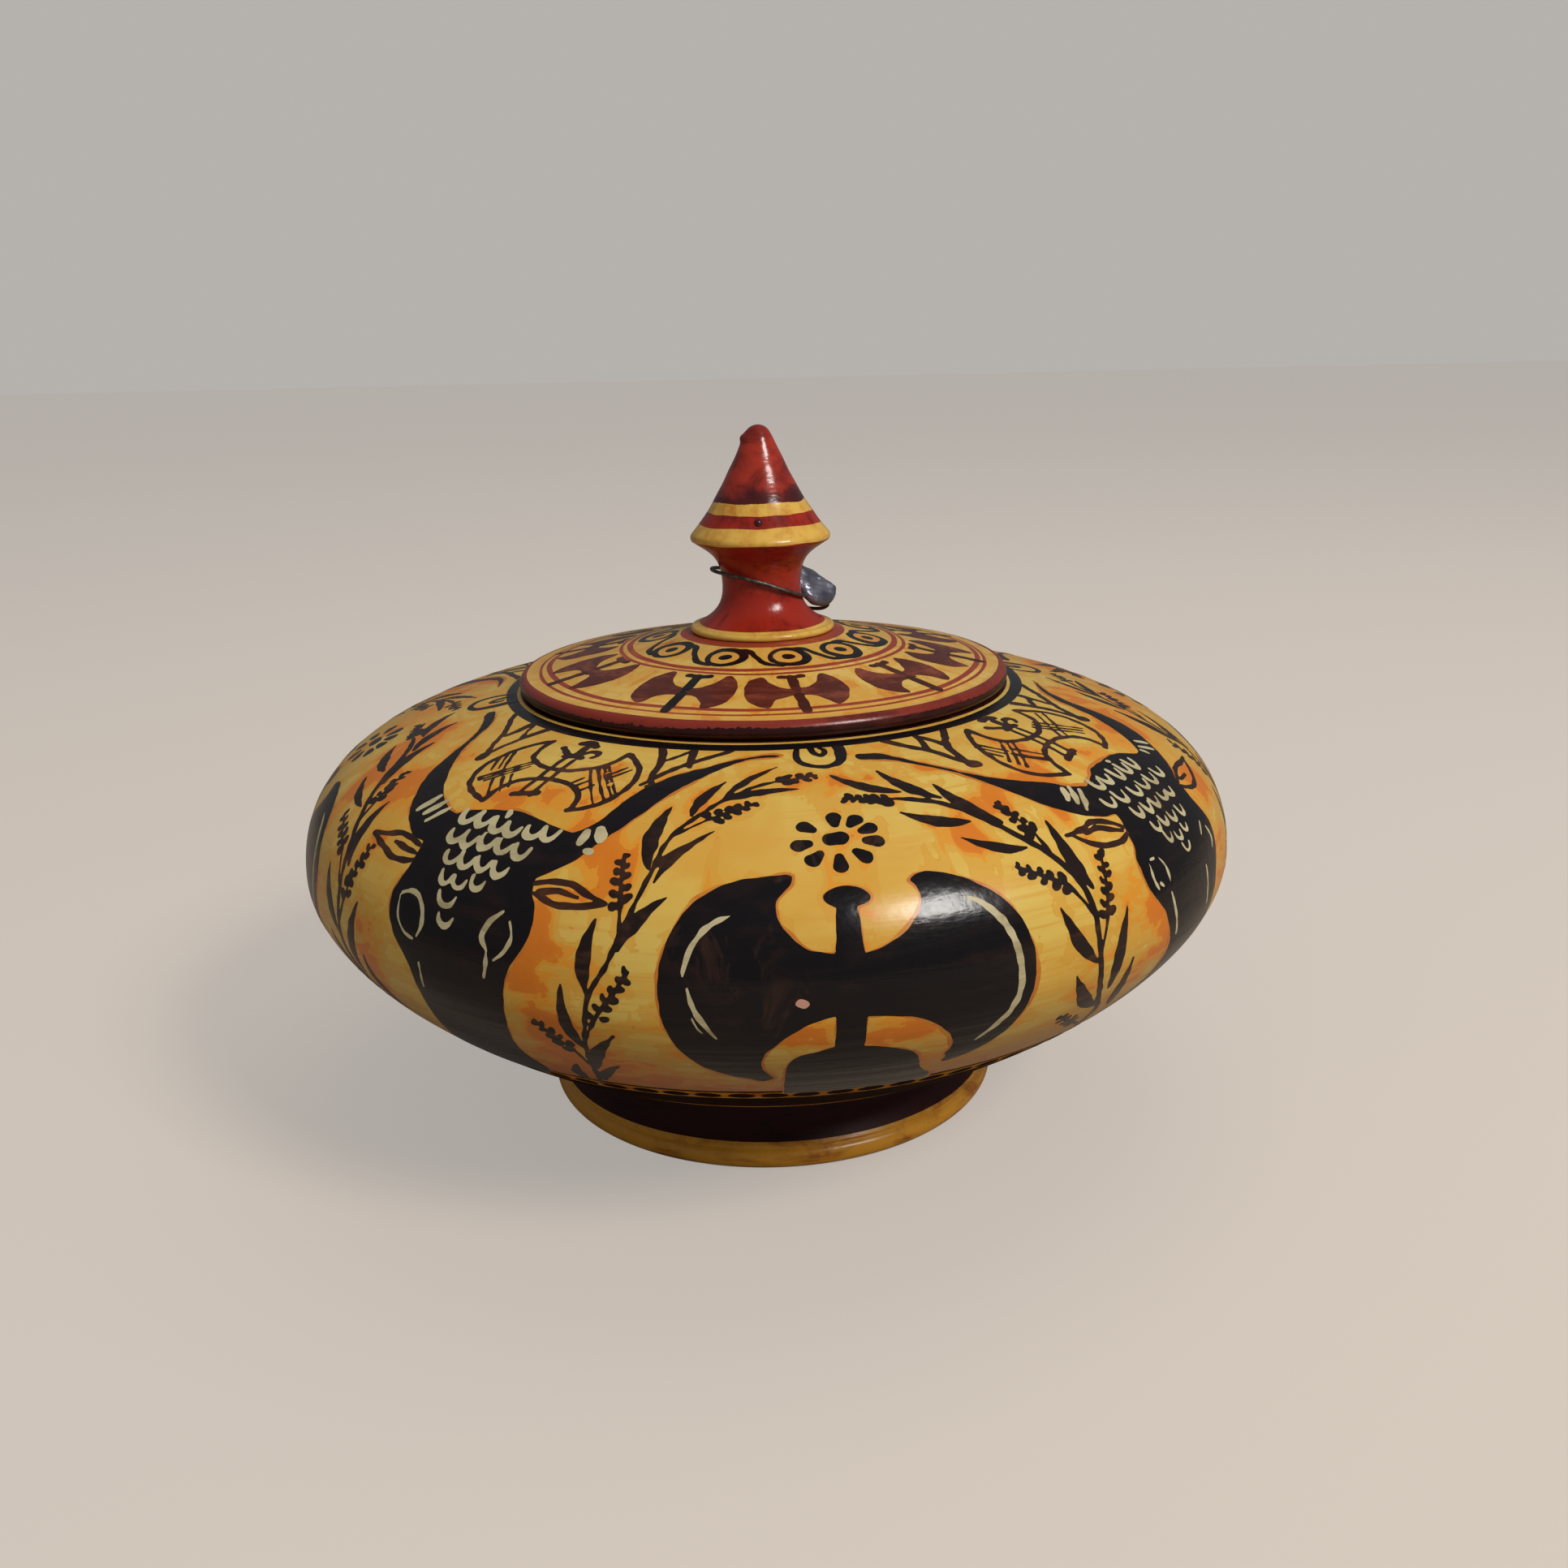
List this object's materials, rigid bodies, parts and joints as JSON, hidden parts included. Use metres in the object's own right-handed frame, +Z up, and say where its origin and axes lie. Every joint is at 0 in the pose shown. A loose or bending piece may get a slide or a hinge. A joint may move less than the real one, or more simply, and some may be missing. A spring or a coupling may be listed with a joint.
{
  "type": "lidded painted pot",
  "caption": "Squat painted pottery bowl on a foot ring, with a lift-off lid, a pointed knob and a wire tie with a lead seal.",
  "frame": {"origin": "centre of the flat face under the foot ring, where the pot stands on the table", "axes": "+Z up along the turning axis; -Y is the painted front; +X is to the right seen from the front"},
  "size_m": [0.2, 0.2, 0.1468],
  "materials": {
    "painted_clay": "straw-yellow slip with dark figures under a clear gloss",
    "foot_slip": "dark red-brown slip with a yellow lip under a clear gloss",
    "painted_lid": "yellow slip with red and brown figures under a clear gloss",
    "red_slip": "red slip with yellow bands under a clear gloss",
    "wire": "dull grey drawn wire",
    "lead": "dull dark lead"
  },
  "bodies": {
    "pot": {"bowl": "painted_clay", "foot_ring": "foot_slip"},
    "cover": {"lid": "painted_lid", "knob": "red_slip"},
    "tie": {"seal_wire": "wire", "lead_seal": "lead"}
  },
  "joints": [
    {"name": "lid_lift", "type": "slide", "parent": "pot", "child": "cover", "axis": [0, 0, 1], "range_m": [0, 0.12]},
    {"name": "tie_turn", "type": "hinge", "parent": "cover", "child": "tie", "pos_m": [0, 0, 0.113], "axis": [0, 0, 1], "continuous": true}
  ]
}
